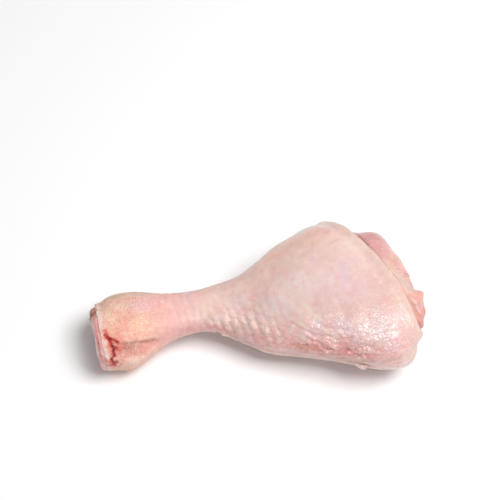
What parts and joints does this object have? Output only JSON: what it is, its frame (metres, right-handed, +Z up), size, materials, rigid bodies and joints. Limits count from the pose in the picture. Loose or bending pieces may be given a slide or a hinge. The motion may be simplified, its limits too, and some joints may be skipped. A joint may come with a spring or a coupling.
{
  "type": "raw chicken drumstick",
  "caption": "Raw poultry drumstick lying on its side, a slim shank with a knuckle at one end and a full calf at the other, skin on.",
  "frame": {"origin": "middle of the underside of the whole drumstick's bounding box, on the plane it rests on", "axes": "+X along the drumstick from the cut ankle to the knee end, +Z up from the surface it lies on, +Y away to the far side"},
  "size_m": [0.1198, 0.0624, 0.043],
  "materials": {
    "skin": "raw, moist poultry skin",
    "meat": "raw, wet poultry meat",
    "bone": "raw bone with a wet cap of cartilage at both ends"
  },
  "bodies": {
    "root": {"skin": "skin", "meat": "meat", "bone": "bone"}
  },
  "joints": []
}
